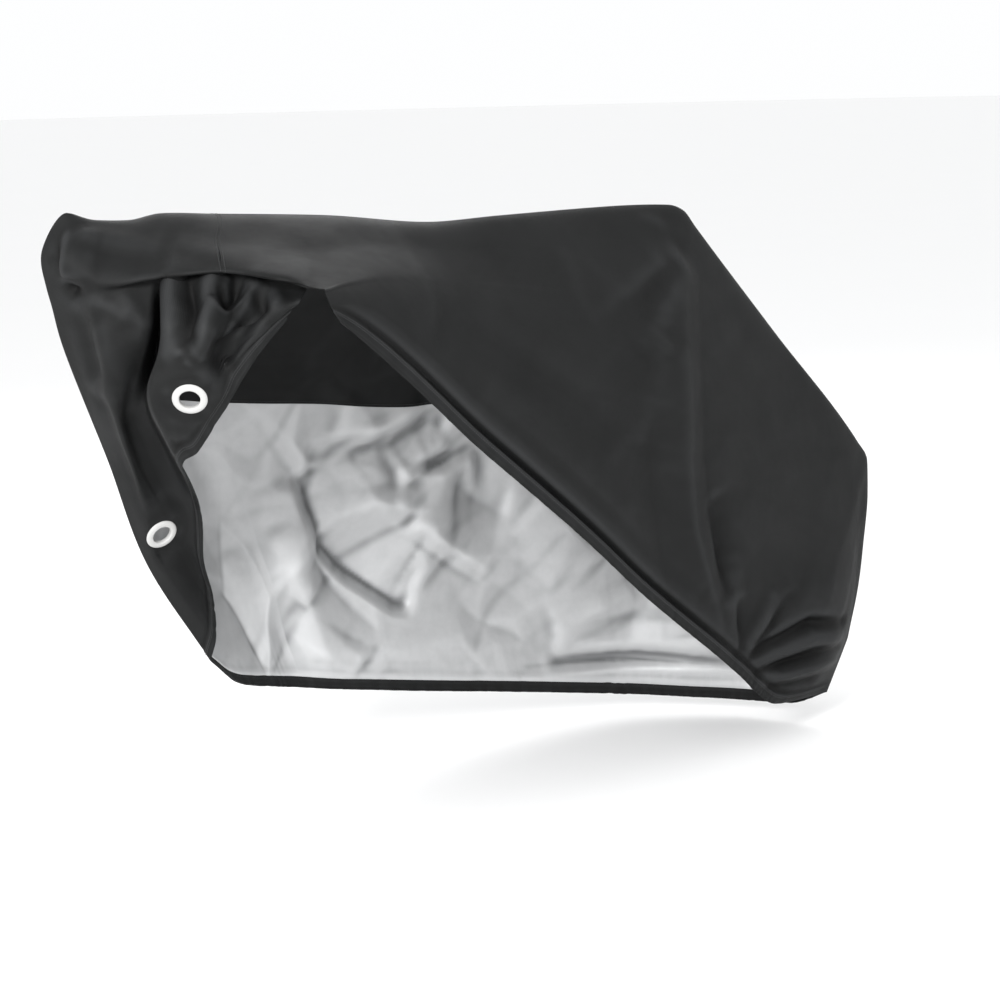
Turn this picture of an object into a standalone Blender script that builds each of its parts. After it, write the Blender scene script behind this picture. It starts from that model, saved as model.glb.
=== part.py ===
"""Bicycle cover, hanging as thrown over a parked bicycle, with its near hem lifted over the handlebar.

Two side panels meet along a spine seam, from the top front corner, over the highest point and
down the slanting back. A front panel makes the nose and the flap that hangs from the lifted band.
It holds two plastic eyelets. Every panel is a thin sheet lofted between ribs. A rib runs from the
spine down to the hem, and its station is its distance along the spine.

Metres. +X runs towards the rear, +Y to the far side, +Z up. The tables give heights above the
ground, and the model's origin is the point under the top that carries the cover.
"""
import bpy
import bmesh
import numpy as np
from mathutils import Vector

# Driving sizes
SHEET = 0.0016
SEAM_GAP = 0.0008
EYELET_OUTER = 0.054
EYELET_BORE = 0.032
CARRIED_AT = np.array((0.42, 0.0, 1.02))

# Stations, along the spine
SEAM = 0.24
FLAP_END = 0.405
APEX = 0.43
TAIL = 2.16

# Places down a rib, from the spine (0) over the band's lower edge to the hem (1)
BAND_EDGE = 0.28
ROW_AT = np.array((0.0, 0.14, BAND_EDGE, 0.34, 0.50, 0.67, 0.84, 1.0))

SPINE = (  # station, x, y, z
    (0.000, -0.545, 0.150, 1.073),
    (0.050, -0.500, 0.145, 1.058),
    (0.100, -0.448, 0.140, 1.055),
    (0.155, -0.395, 0.130, 1.063),
    (0.240, -0.312, 0.115, 1.058),
    (0.430, -0.128, 0.090, 1.046),
    (0.640, 0.075, 0.050, 1.025),
    (0.750, 0.185, 0.035, 1.029),
    (0.980, 0.420, 0.010, 1.033),
    (1.080, 0.525, 0.002, 1.029),
    (1.110, 0.552, 0.000, 1.018),
    (1.140, 0.574, 0.000, 0.993),
    (1.440, 0.766, 0.000, 0.783),
    (1.750, 0.980, 0.000, 0.551),
    (1.790, 1.005, 0.000, 0.515),
    (1.860, 1.007, 0.000, 0.450),
    (1.950, 0.997, 0.000, 0.355),
    (2.050, 0.985, 0.000, 0.265),
    (2.160, 0.960, 0.000, 0.160),
)

FRONT_RIBS = (  # name, station, tuck, then crest, edge, upper, middle, lower and hem points
    ("nose", 0.000, 0.0, (-0.586, 0.155, 1.018), (-0.579, 0.165, 0.959), (-0.547, 0.185, 0.852),
     (-0.478, 0.206, 0.672), (-0.413, 0.217, 0.481), (-0.298, 0.240, 0.293)),
    ("corner", 0.020, 0.15, (-0.576, 0.120, 1.017), (-0.567, 0.118, 0.975), (-0.535, 0.140, 0.860),
     (-0.469, 0.171, 0.676), (-0.403, 0.192, 0.493), (-0.294, 0.225, 0.331)),
    ("curtain", 0.090, 0.6, (-0.522, 0.085, 1.015), (-0.531, 0.050, 0.968), (-0.525, 0.060, 0.867),
     (-0.489, 0.118, 0.731), (-0.405, 0.178, 0.573), (-0.290, 0.234, 0.399)),
    ("lip", 0.150, 1.0, (-0.454, 0.060, 1.018), (-0.473, 0.010, 0.975), (-0.478, 0.030, 0.881),
     (-0.474, 0.108, 0.770), (-0.410, 0.166, 0.634), (-0.321, 0.200, 0.478)),
    ("valley", 0.168, 1.0, (-0.438, 0.050, 1.019), (-0.460, 0.000, 0.978), (-0.441, 0.075, 0.865),
     (-0.454, 0.100, 0.769), (-0.400, 0.147, 0.675), (-0.341, 0.156, 0.574)),
    ("flap edge", 0.185, 1.0, (-0.420, 0.045, 1.019), (-0.449, -0.012, 0.979), (-0.473, -0.045, 0.905),
     (-0.510, -0.040, 0.816), (-0.477, -0.012, 0.735), (-0.442, 0.005, 0.681)),
    ("flap", 0.240, 1.0, (-0.361, 0.010, 1.021), (-0.389, -0.060, 0.984), (-0.438, -0.105, 0.904),
     (-0.452, -0.070, 0.812), (-0.450, -0.045, 0.755), (-0.432, -0.030, 0.710)),
    ("trough", 0.315, 1.0, (-0.299, -0.020, 1.015), (-0.355, -0.120, 0.978), (-0.389, -0.110, 0.908),
     (-0.411, -0.085, 0.847), (-0.416, -0.070, 0.808), (-0.398, -0.065, 0.781)),
    ("hem band", 0.360, 0.8, (-0.270, -0.040, 1.008), (-0.336, -0.145, 0.974), (-0.352, -0.135, 0.926),
     (-0.367, -0.125, 0.897), (-0.374, -0.115, 0.877), (-0.366, -0.110, 0.857)),
    ("apex", 0.430, 0.3, (-0.216, -0.060, 0.998), (-0.282, -0.180, 0.957), (-0.288, -0.170, 0.951),
     (-0.293, -0.160, 0.947), (-0.299, -0.155, 0.945), (-0.303, -0.150, 0.940)),
)
TUCK_DEPTH = 0.38
TUCK_DROP = np.array((0.0, 0.0, -0.016))

NEAR_HEM = (  # station, x, y, z, belly
    (0.43, -0.268, -0.200, 0.909, 0.000),
    (0.55, -0.149, -0.170, 0.816, 0.010),
    (0.72, 0.013, -0.150, 0.672, 0.015),
    (0.82, 0.092, -0.150, 0.604, 0.015),
    (0.96, 0.224, -0.140, 0.492, 0.015),
    (1.11, 0.355, -0.120, 0.377, 0.015),
    (1.30, 0.487, -0.095, 0.273, 0.020),
    (1.60, 0.644, -0.055, 0.153, 0.025),
    (1.77, 0.689, -0.045, 0.113, 0.030),
    (1.97, 0.743, -0.035, 0.080, 0.030),
    (2.16, 0.907, 0.000, 0.063, 0.000),
)
FAR_HEM = (  # station, x, y, z, belly
    (0.00, -0.298, 0.240, 0.293, 0.000),
    (0.06, -0.221, 0.285, 0.227, 0.030),
    (0.13, -0.146, 0.315, 0.200, 0.030),
    (0.24, -0.075, 0.335, 0.180, 0.030),
    (0.43, 0.078, 0.345, 0.145, 0.030),
    (0.72, 0.321, 0.340, 0.096, 0.035),
    (0.98, 0.513, 0.310, 0.063, 0.035),
    (1.11, 0.618, 0.285, 0.047, 0.035),
    (1.45, 0.754, 0.200, 0.034, 0.030),
    (1.77, 0.824, 0.130, 0.031, 0.030),
    (1.98, 0.867, 0.060, 0.034, 0.025),
    (2.16, 0.907, 0.000, 0.063, 0.000),
)
NEAR_START = (  # under, upper, middle, lower and hem points
    (-0.283, -0.183, 0.953), (-0.283, -0.186, 0.948), (-0.281, -0.190, 0.939),
    (-0.276, -0.195, 0.925), (-0.268, -0.200, 0.909))

# How the side ribs swell under the spine, ease into their neighbours' shape, and how many there are
CREST_POWER = 3.0
NOSE_FADE = 0.06
BAND_FADE = 0.09
PLAIN_RIBS = 90


def slopes(at, points):
    """Slopes of a smooth curve through the points that never swings past them."""
    step = np.diff(at)[:, None]
    rise = np.diff(points, axis=0) / step
    before, after = rise[:-1], rise[1:]
    weight_before = 2 * step[1:] + step[:-1]
    weight_after = step[1:] + 2 * step[:-1]
    same_way = before * after > 0
    safe_before = np.where(same_way, before, 1.0)
    safe_after = np.where(same_way, after, 1.0)
    mean = (weight_before + weight_after) / (weight_before / safe_before + weight_after / safe_after)
    return np.concatenate((rise[:1], np.where(same_way, mean, 0.0), rise[-1:]))


def hermite(start, end, slope_start, slope_end, length, part):
    """The cubic from start to end with these end slopes, at this part (0 to 1) of its length."""
    square, cube = part ** 2, part ** 3
    return ((2 * cube - 3 * square + 1) * start + (cube - 2 * square + part) * length * slope_start
            + (3 * square - 2 * cube) * end + (cube - square) * length * slope_end)


def read_curve(at, points, places):
    """Points of the smooth curve through a table, at the wanted places."""
    slope = slopes(at, points)
    low = np.clip(np.searchsorted(at, places, side="right") - 1, 0, len(at) - 2)
    length = (at[low + 1] - at[low])[..., None]
    part = (places - at[low])[..., None] / length
    return hermite(points[low], points[low + 1], slope[low], slope[low + 1], length, part)


def table_columns(table, first):
    """A table's stations and its numbers from this column on."""
    stations = np.array([row[0] for row in table])
    return stations, np.array([row[first:] for row in table])


SPINE_STATIONS, SPINE_POINTS = table_columns(SPINE, 1)


def spine(station):
    return read_curve(SPINE_STATIONS, SPINE_POINTS, station)


def front_ribs():
    """Stations and rib points of the front, as offsets from the spine."""
    stations = np.array([rib[1] for rib in FRONT_RIBS])
    crest, edge, upper, middle, lower, hem = (
        np.array([rib[column] for rib in FRONT_RIBS]) for column in range(3, 9))
    tuck = np.array([rib[2] for rib in FRONT_RIBS])[:, None]
    untucked = edge + (upper - edge) * 0.25
    tucked = edge + (crest - edge) * TUCK_DEPTH + TUCK_DROP
    under = untucked * (1 - tuck) + tucked * tuck
    top = spine(stations)
    return stations, np.stack((top, crest, edge, under, upper, middle, lower, hem)) - top


def plain_ribs(table, side):
    """Stations and rib points of a side without tucks, as offsets from the spine."""
    at, columns = table_columns(table, 1)
    stations = np.linspace(at[0], at[-1], PLAIN_RIBS)
    columns = read_curve(at, columns, stations)
    reach = columns[:, :3] - spine(stations)
    belly = columns[:, 3]
    ribs = reach[None] * ROW_AT[:, None, None]
    outward = 1 - (1 - ROW_AT[:, None]) ** CREST_POWER
    ribs[..., 1] = reach[None, :, 1] * outward + side * belly * np.sin(np.pi * ROW_AT[:, None])
    return stations, ribs


def carry_on_from(first_rib, stations, ribs, reach):
    """Ribs that start at this first rib and ease into their own shape over this reach."""
    fade = np.exp((stations[0] - stations) / reach)[None, :, None]
    return ribs + (first_rib - ribs[:, 0])[:, None] * fade


FRONT_STATIONS, FRONT_OFFSETS = front_ribs()
NEAR_STATIONS, PLAIN_NEAR = plain_ribs(NEAR_HEM, -1)
BAND_END = np.concatenate((FRONT_OFFSETS[:3, -1], np.array(NEAR_START) - spine(NEAR_STATIONS)[0]))
NEAR_OFFSETS = carry_on_from(BAND_END, NEAR_STATIONS, PLAIN_NEAR, BAND_FADE)
FAR_STATIONS, PLAIN_FAR = plain_ribs(FAR_HEM, 1)
FAR_OFFSETS = carry_on_from(FRONT_OFFSETS[:, 0], FAR_STATIONS, PLAIN_FAR, NOSE_FADE)
TOP_STATIONS = np.concatenate((FRONT_STATIONS[:-1], NEAR_STATIONS))
TOP_OFFSETS = np.concatenate((FRONT_OFFSETS[:4, :-1], NEAR_OFFSETS[:4]), axis=1)


def down_rib(rows, station, place):
    """Points on the ribs at these stations, at these places between the spine and the hem."""
    step = np.diff(ROW_AT).reshape((-1,) + (1,) * (rows.ndim - 1))
    rise = np.diff(rows, axis=0) / step
    inner = (rise[:-1] * step[1:] + rise[1:] * step[:-1]) / (step[1:] + step[:-1])
    over_top = rise[:1].copy()
    over_top[..., 0] *= np.exp(-station / NOSE_FADE)
    over_top[..., 1] *= 1.4
    over_top[..., 2] = 0.0
    slope = np.concatenate((over_top, inner, rise[-1:]))
    low = np.clip(np.searchsorted(ROW_AT, place, side="right") - 1, 0, len(ROW_AT) - 2)
    length = (ROW_AT[low + 1] - ROW_AT[low])[..., None]
    part = (place - ROW_AT[low])[..., None] / length
    pick = np.indices(low.shape)
    return hermite(rows[(low, *pick)], rows[(low + 1, *pick)],
                   slope[(low, *pick)], slope[(low + 1, *pick)], length, part)


def rib_rows(top, lower, station):
    """Control rows at these stations: those over the band, then those below it."""
    upper_rows = [read_curve(top[0], row, station) for row in top[1]]
    within = np.clip(station, lower[0][0], lower[0][-1])
    lower_rows = [read_curve(lower[0], row, within) for row in lower[1]]
    return np.stack(upper_rows + lower_rows)


def front_surface(station, place):
    rows = rib_rows((TOP_STATIONS, TOP_OFFSETS[:3]), (FRONT_STATIONS, FRONT_OFFSETS[3:]), station)
    return spine(station) + down_rib(rows, station, place)


def near_surface(station, place):
    rows = rib_rows((TOP_STATIONS, TOP_OFFSETS), (NEAR_STATIONS, NEAR_OFFSETS[4:]), station)
    return spine(station) + down_rib(rows, station, place)


def far_surface(station, place):
    rows = rib_rows((FAR_STATIONS, FAR_OFFSETS[:4]), (FAR_STATIONS, FAR_OFFSETS[4:]), station)
    return spine(station) + down_rib(rows, station, place)


# Main folds, seen from the side. Heights are outwards, so a trough's are below zero.
NEAR_FOLDS = (  # name, half width, then x, z and height along the fold
    ("saddle crease", 0.035, (0.47, 0.95, 0.004), (0.47, 0.73, 0.011), (0.48, 0.55, 0.013),
     (0.51, 0.38, 0.013), (0.59, 0.20, 0.004)),
    ("ridge to the bar", 0.040, (0.50, 0.97, 0.003), (0.40, 0.92, 0.011), (0.29, 0.87, 0.003)),
    ("short ridge", 0.035, (0.50, 0.95, 0.003), (0.46, 0.87, 0.009), (0.44, 0.81, 0.003)),
    ("top hollow", 0.050, (0.05, 0.93, -0.004), (0.20, 0.94, -0.011), (0.35, 0.92, -0.004)),
    ("middle hollow", 0.045, (0.03, 0.83, -0.004), (0.14, 0.77, -0.011), (0.25, 0.71, -0.004)),
    ("low hollow", 0.035, (0.54, 0.47, -0.004), (0.56, 0.40, -0.010), (0.57, 0.32, -0.004)),
    ("rear gather", 0.030, (0.70, 0.15, 0.004), (0.80, 0.17, 0.011), (0.90, 0.20, 0.004)),
    ("hollow by the gather", 0.030, (0.62, 0.34, -0.004), (0.63, 0.23, -0.010)),
)
FAR_FOLDS = (
    ("long fold", 0.040, (-0.07, 0.56, 0.004), (-0.05, 0.47, 0.013), (-0.01, 0.39, 0.016),
     (0.09, 0.32, 0.014), (0.16, 0.30, 0.004)),
    ("front ridge", 0.035, (-0.13, 0.45, -0.004), (-0.10, 0.39, -0.012), (-0.04, 0.32, -0.012),
     (0.02, 0.23, -0.004)),
    ("low ridge", 0.035, (-0.17, 0.33, -0.003), (-0.09, 0.29, -0.010), (-0.02, 0.23, -0.010),
     (0.08, 0.17, -0.003)),
    ("upper hollow", 0.040, (0.05, 0.62, 0.005), (0.15, 0.63, 0.013), (0.25, 0.63, 0.005)),
    ("upper ridge", 0.040, (0.12, 0.56, -0.004), (0.30, 0.57, -0.012)),
    ("slanting ridge", 0.040, (0.16, 0.48, -0.004), (0.27, 0.53, -0.012), (0.31, 0.56, -0.004)),
    ("rear ridge", 0.030, (0.45, 0.16, -0.003), (0.65, 0.13, -0.009), (0.85, 0.10, -0.003)),
)
FOLDS_FADE = 0.10

EYELETS = (  # name, station, place down the rib, direction it faces
    ("eyelet_flap", 0.236, 0.702, (-0.48, -0.75, -0.46)),
    ("eyelet_nose", 0.062, 0.839, (0.05, -0.88, -0.45)),
)
EYELET_PROFILE = (  # radius and height above the cloth's inner face, down the outside and up the bore
    (EYELET_BORE / 2, 0.0040),
    (0.0185, 0.0050),
    (0.0240, 0.0048),
    (EYELET_OUTER / 2, 0.0034),
    (EYELET_OUTER / 2, 0.0020),
    (0.0180, 0.0020),
    (0.0180, -0.0004),
    (0.0235, -0.0004),
    (0.0235, -0.0018),
    (EYELET_BORE / 2, -0.0018),
)
EYELET_STEPS = 28
HOLE_RADIUS = 0.0186
SEAT_FLAT = 0.050
SEAT_EASED = 0.068
SEAT_REACH = 0.120

BLACK = (0.035, 0.036, 0.038, 1.0)
SILVER = (0.60, 0.61, 0.62, 1.0)
WHITE = (0.85, 0.85, 0.84, 1.0)


def steps(*spans):
    """Places from the first span's start to the last one's end, each span in equal steps."""
    places = [np.linspace(start, end, count, endpoint=False) for start, end, count in spans]
    return np.append(np.concatenate(places), spans[-1][1])


PLACES = steps((0, 0.14, 2), (0.14, BAND_EDGE, 3), (BAND_EDGE, 0.34, 2), (0.34, 0.50, 3),
               (0.50, 0.67, 4), (0.67, 0.84, 4), (0.84, 1.0, 3))
ROWS_OF_BAND = 5
FRONT_AT = steps((0, 0.09, 4), (0.09, SEAM, 8))
FLAP_AT = steps((SEAM, FLAP_END, 6))
BAND_AT = steps((SEAM, FLAP_END, 6), (FLAP_END, APEX, 1))
SIDE_AT = steps((APEX, 0.95, 6), (0.95, 1.25, 5), (1.25, TAIL, 9))


def distance_to_line(points, line):
    """Distance in side view to a line of x, z and height points, and the height nearest to there."""
    nearest = np.full(points.shape[:-1], np.inf)
    height = np.zeros(points.shape[:-1])
    spot = points[..., (0, 2)]
    for start, end in zip(np.array(line[:-1]), np.array(line[1:])):
        along = end[:2] - start[:2]
        share = np.clip((spot - start[:2]) @ along / (along @ along), 0, 1)
        away = np.linalg.norm(spot - start[:2] - share[..., None] * along, axis=-1)
        height = np.where(away < nearest, start[2] + share * (end[2] - start[2]), height)
        nearest = np.minimum(nearest, away)
    return nearest, height


def folded(points, folds, side, station, place):
    """Push points out or in along the folds, which fade out at the spine and the tail."""
    out = np.zeros(points.shape[:-1])
    for _name, width, *line in folds:
        away, height = distance_to_line(points, line)
        out += height * np.exp(-(away / width) ** 2)
    fade = np.clip(place / FOLDS_FADE, 0, 1) * np.clip((TAIL - station) / FOLDS_FADE, 0, 1)
    points[..., 1] += side * out * fade
    return points


def front_sheet(stations, places):
    station, place = np.meshgrid(stations, places, indexing="ij")
    return front_surface(station, place)


def near_sheet(stations, places):
    station, place = np.meshgrid(stations, places, indexing="ij")
    return folded(near_surface(station, place), NEAR_FOLDS, -1, station, place)


def far_sheet(stations, places):
    station, place = np.meshgrid(stations, places, indexing="ij")
    return folded(far_surface(station, place), FAR_FOLDS, 1, station, place)


def draw_back(points):
    """Draw the sheet's first line of points back along the sheet, to leave the seam's gap."""
    inward = points[1] - points[0]
    points[0] += inward / np.linalg.norm(inward, axis=-1, keepdims=True) * SEAM_GAP


def add_quads(mesh, points, near):
    """Add quads through a grid of points, with their faces outwards on the near or far side."""
    grid = [[mesh.verts.new(point - CARRIED_AT) for point in rib] for rib in points]
    for rib, next_rib in zip(grid[:-1], grid[1:]):
        for place in range(len(rib) - 1):
            corners = [rib[place], next_rib[place], next_rib[place + 1], rib[place + 1]]
            if near:
                corners.reverse()
            mesh.faces.new(corners)


def front_panel_mesh():
    """The nose, which wraps round to the far side, and the flap under the band."""
    mesh = bmesh.new()
    add_quads(mesh, front_sheet(FRONT_AT, PLACES), near=True)
    add_quads(mesh, front_sheet(FLAP_AT, PLACES[ROWS_OF_BAND:]), near=True)
    add_quads(mesh, far_sheet(FRONT_AT, PLACES), near=False)
    bmesh.ops.remove_doubles(mesh, verts=mesh.verts, dist=0.00001)
    return mesh


def near_panel_mesh():
    """The band beside the flap, and the near side behind it."""
    band = near_sheet(BAND_AT, PLACES[:ROWS_OF_BAND + 1])
    draw_back(band)
    draw_back(band[:, ::-1].swapaxes(0, 1))
    side = near_sheet(SIDE_AT, PLACES)
    side[0, :ROWS_OF_BAND + 1] = band[-1]
    mesh = bmesh.new()
    add_quads(mesh, band, near=True)
    add_quads(mesh, side, near=True)
    bmesh.ops.remove_doubles(mesh, verts=mesh.verts, dist=0.00001)
    return mesh


def far_panel_mesh():
    """The far side, from the front panel to the tail."""
    side = far_sheet(np.concatenate((BAND_AT, SIDE_AT[1:])), PLACES)
    draw_back(side)
    side[..., 1] += SEAM_GAP
    mesh = bmesh.new()
    add_quads(mesh, side, near=False)
    return mesh


def eyelet_seat(station, place, facing):
    """Centre and direction of an eyelet, on the cloth's inner face."""
    centre = front_surface(np.array([station]), np.array([place]))[0] - CARRIED_AT
    return Vector(centre), Vector(facing).normalized()


def press_seat(mesh, centre, facing):
    """Refine the cloth round an eyelet and press it flat there, easing out to its own shape."""
    mesh.normal_update()
    around = [edge for edge in mesh.edges
              if any((vert.co - centre).length < SEAT_EASED for vert in edge.verts)]
    bmesh.ops.subdivide_edges(mesh, edges=around, cuts=2, use_grid_fill=True)
    mesh.normal_update()
    for vert in mesh.verts:
        offset = vert.co - centre
        lift = offset.dot(facing)
        reach = (offset - lift * facing).length
        ease = min(max((SEAT_EASED - reach) / (SEAT_EASED - SEAT_FLAT), 0), 1)
        if offset.length < SEAT_REACH and vert.normal.dot(facing) > 0:
            vert.co -= facing * lift * ease


def make_material(name, colour, roughness):
    material = bpy.data.materials.new(name)
    material.use_nodes = True
    shader = material.node_tree.nodes["Principled BSDF"]
    shader.inputs["Base Color"].default_value = colour
    shader.inputs["Roughness"].default_value = roughness
    shader.inputs["Metallic"].default_value = 0.0
    return material


def make_object(name, mesh, collection):
    """An object in this collection, from a bmesh."""
    data = bpy.data.meshes.new(name)
    mesh.to_mesh(data)
    mesh.free()
    thing = bpy.data.objects.new(name, data)
    collection.objects.link(thing)
    return thing


def place_on_seat(thing, centre, facing):
    thing.location = centre
    thing.rotation_euler = facing.to_track_quat("Z", "Y").to_euler()


def make_panel(name, mesh, colour, collection):
    """A cloth panel: its sheet is the inner face, and the thickness lies outside it."""
    panel = make_object(name, mesh, collection)
    panel.data.materials.append(make_material(name, colour, 0.7))
    panel.data.shade_smooth()
    shell = panel.modifiers.new("sheet", "SOLIDIFY")
    shell.thickness = SHEET
    shell.offset = 1.0
    shell.use_even_offset = True
    shell.use_quality_normals = True
    panel.modifiers.new("flat triangles", "TRIANGULATE")
    return panel


def make_hole(panel, name, centre, facing, cutters):
    """Cut an eyelet's hole through the panel."""
    mesh = bmesh.new()
    bmesh.ops.create_cone(mesh, cap_ends=True, segments=EYELET_STEPS, radius1=HOLE_RADIUS,
                          radius2=HOLE_RADIUS, depth=0.02)
    cutter = make_object("cutter_" + name, mesh, cutters)
    place_on_seat(cutter, centre, facing)
    cutter.hide_render = True
    cutter.display_type = "WIRE"
    hole = panel.modifiers.new("hole " + name, "BOOLEAN")
    hole.operation = "DIFFERENCE"
    hole.solver = "EXACT"
    hole.object = cutter


def make_eyelet(name, centre, facing, collection):
    """A plastic eyelet, turned from its profile."""
    mesh = bmesh.new()
    profile = [mesh.verts.new((radius, 0, height)) for radius, height in EYELET_PROFILE]
    for start, end in zip(profile, profile[1:] + profile[:1]):
        mesh.edges.new((start, end))
    eyelet = make_object(name, mesh, collection)
    place_on_seat(eyelet, centre, facing)
    eyelet.data.materials.append(make_material(name, WHITE, 0.35))
    turn = eyelet.modifiers.new("turn", "SCREW")
    turn.axis = "Z"
    turn.steps = EYELET_STEPS
    turn.render_steps = EYELET_STEPS
    turn.use_merge_vertices = True
    turn.merge_threshold = 0.0001
    turn.use_smooth_shade = True


def clear_scene():
    for thing in list(bpy.data.objects):
        bpy.data.objects.remove(thing)


def main():
    clear_scene()
    cover = bpy.data.collections.new("bicycle_cover")
    cutters = bpy.data.collections.new("cutters")
    bpy.context.scene.collection.children.link(cover)
    bpy.context.scene.collection.children.link(cutters)
    front_mesh = front_panel_mesh()
    seats = [(name, *eyelet_seat(*place)) for name, *place in EYELETS]
    for _name, centre, facing in seats:
        press_seat(front_mesh, centre, facing)
    front = make_panel("front_panel", front_mesh, BLACK, cover)
    make_panel("side_panel_near", near_panel_mesh(), BLACK, cover)
    make_panel("side_panel_far", far_panel_mesh(), SILVER, cover)
    for name, centre, facing in seats:
        make_hole(front, name, centre, facing, cutters)
        make_eyelet(name, centre, facing, cover)


main()
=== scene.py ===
"""Looks of the bicycle cover: fine cloth with folds, hems, seams and stitches, and its two eyelets.

Each panel is the CAD model's sheet again, on a closer grid, with smaller folds, puckers and hems
added along the sheet's own direction. Metres. +X runs towards the rear, +Y to the far side, +Z up.
"""
import itertools
import math

import bpy
import numpy as np
from mathutils import Matrix, Vector


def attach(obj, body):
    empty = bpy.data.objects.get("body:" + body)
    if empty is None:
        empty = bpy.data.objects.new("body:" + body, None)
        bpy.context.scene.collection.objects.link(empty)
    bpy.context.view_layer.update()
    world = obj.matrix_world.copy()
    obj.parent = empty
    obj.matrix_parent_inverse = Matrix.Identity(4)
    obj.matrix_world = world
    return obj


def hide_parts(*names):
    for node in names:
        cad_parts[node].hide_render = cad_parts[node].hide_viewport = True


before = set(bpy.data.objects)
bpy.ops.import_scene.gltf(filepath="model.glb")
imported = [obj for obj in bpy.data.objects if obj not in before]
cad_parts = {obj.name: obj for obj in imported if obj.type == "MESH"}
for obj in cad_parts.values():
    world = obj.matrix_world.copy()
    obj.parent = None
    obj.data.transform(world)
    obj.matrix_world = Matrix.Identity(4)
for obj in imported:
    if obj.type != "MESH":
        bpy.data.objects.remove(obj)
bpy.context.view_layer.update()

# Driving sizes
SHEET = 0.0016
CARRIED_AT = np.array((0.42, 0.0, 1.02))
HEM_WIDTH = 0.021
HEM_THICKNESS = 0.0020
STITCH_LENGTH = 0.0032
STITCH_SPACING = 0.0044
STITCH_RADIUS = 0.00045

# Stations, along the spine
SEAM = 0.24
FLAP_END = 0.405
APEX = 0.43
TAIL = 2.16

# Places down a rib, from the spine (0) over the band's lower edge to the hem (1)
BAND_EDGE = 0.28
ROW_AT = np.array((0.0, 0.14, BAND_EDGE, 0.34, 0.50, 0.67, 0.84, 1.0))

SPINE = (  # station, x, y, z
    (0.0, -0.545, 0.15, 1.073),
    (0.05, -0.5, 0.145, 1.058),
    (0.1, -0.448, 0.14, 1.055),
    (0.155, -0.395, 0.13, 1.063),
    (0.24, -0.312, 0.115, 1.058),
    (0.43, -0.128, 0.09, 1.046),
    (0.64, 0.075, 0.05, 1.025),
    (0.75, 0.185, 0.035, 1.029),
    (0.98, 0.42, 0.01, 1.033),
    (1.08, 0.525, 0.002, 1.029),
    (1.11, 0.552, 0.0, 1.018),
    (1.14, 0.574, 0.0, 0.993),
    (1.44, 0.766, 0.0, 0.783),
    (1.75, 0.98, 0.0, 0.551),
    (1.79, 1.005, 0.0, 0.515),
    (1.86, 1.007, 0.0, 0.45),
    (1.95, 0.997, 0.0, 0.355),
    (2.05, 0.985, 0.0, 0.265),
    (2.16, 0.96, 0.0, 0.16),
)

FRONT_RIBS = (  # name, station, tuck, then crest, edge, upper, middle, lower and hem points
    ("nose", 0.0, 0.0, (-0.586, 0.155, 1.018), (-0.579, 0.165, 0.959), (-0.547, 0.185, 0.852),
     (-0.478, 0.206, 0.672), (-0.413, 0.217, 0.481), (-0.298, 0.24, 0.293)),
    ("corner", 0.02, 0.15, (-0.576, 0.12, 1.017), (-0.567, 0.118, 0.975), (-0.535, 0.14, 0.86),
     (-0.469, 0.171, 0.676), (-0.403, 0.192, 0.493), (-0.294, 0.225, 0.331)),
    ("curtain", 0.09, 0.6, (-0.522, 0.085, 1.015), (-0.531, 0.05, 0.968), (-0.525, 0.06, 0.867),
     (-0.489, 0.118, 0.731), (-0.405, 0.178, 0.573), (-0.29, 0.234, 0.399)),
    ("lip", 0.15, 1.0, (-0.454, 0.06, 1.018), (-0.473, 0.01, 0.975), (-0.478, 0.03, 0.881),
     (-0.474, 0.108, 0.77), (-0.41, 0.166, 0.634), (-0.321, 0.2, 0.478)),
    ("valley", 0.168, 1.0, (-0.438, 0.05, 1.019), (-0.46, 0.0, 0.978), (-0.441, 0.075, 0.865),
     (-0.454, 0.1, 0.769), (-0.4, 0.147, 0.675), (-0.341, 0.156, 0.574)),
    ("flap edge", 0.185, 1.0, (-0.42, 0.045, 1.019), (-0.449, -0.012, 0.979), (-0.473, -0.045, 0.905),
     (-0.51, -0.04, 0.816), (-0.477, -0.012, 0.735), (-0.442, 0.005, 0.681)),
    ("flap", 0.24, 1.0, (-0.361, 0.01, 1.021), (-0.389, -0.06, 0.984), (-0.438, -0.105, 0.904),
     (-0.452, -0.07, 0.812), (-0.45, -0.045, 0.755), (-0.432, -0.03, 0.71)),
    ("trough", 0.315, 1.0, (-0.299, -0.02, 1.015), (-0.355, -0.12, 0.978), (-0.389, -0.11, 0.908),
     (-0.411, -0.085, 0.847), (-0.416, -0.07, 0.808), (-0.398, -0.065, 0.781)),
    ("hem band", 0.36, 0.8, (-0.27, -0.04, 1.008), (-0.336, -0.145, 0.974), (-0.352, -0.135, 0.926),
     (-0.367, -0.125, 0.897), (-0.374, -0.115, 0.877), (-0.366, -0.11, 0.857)),
    ("apex", 0.43, 0.3, (-0.216, -0.06, 0.998), (-0.282, -0.18, 0.957), (-0.288, -0.17, 0.951),
     (-0.293, -0.16, 0.947), (-0.299, -0.155, 0.945), (-0.303, -0.15, 0.94)),
)
TUCK_DEPTH = 0.38
TUCK_DROP = np.array((0.0, 0.0, -0.016))

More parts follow.
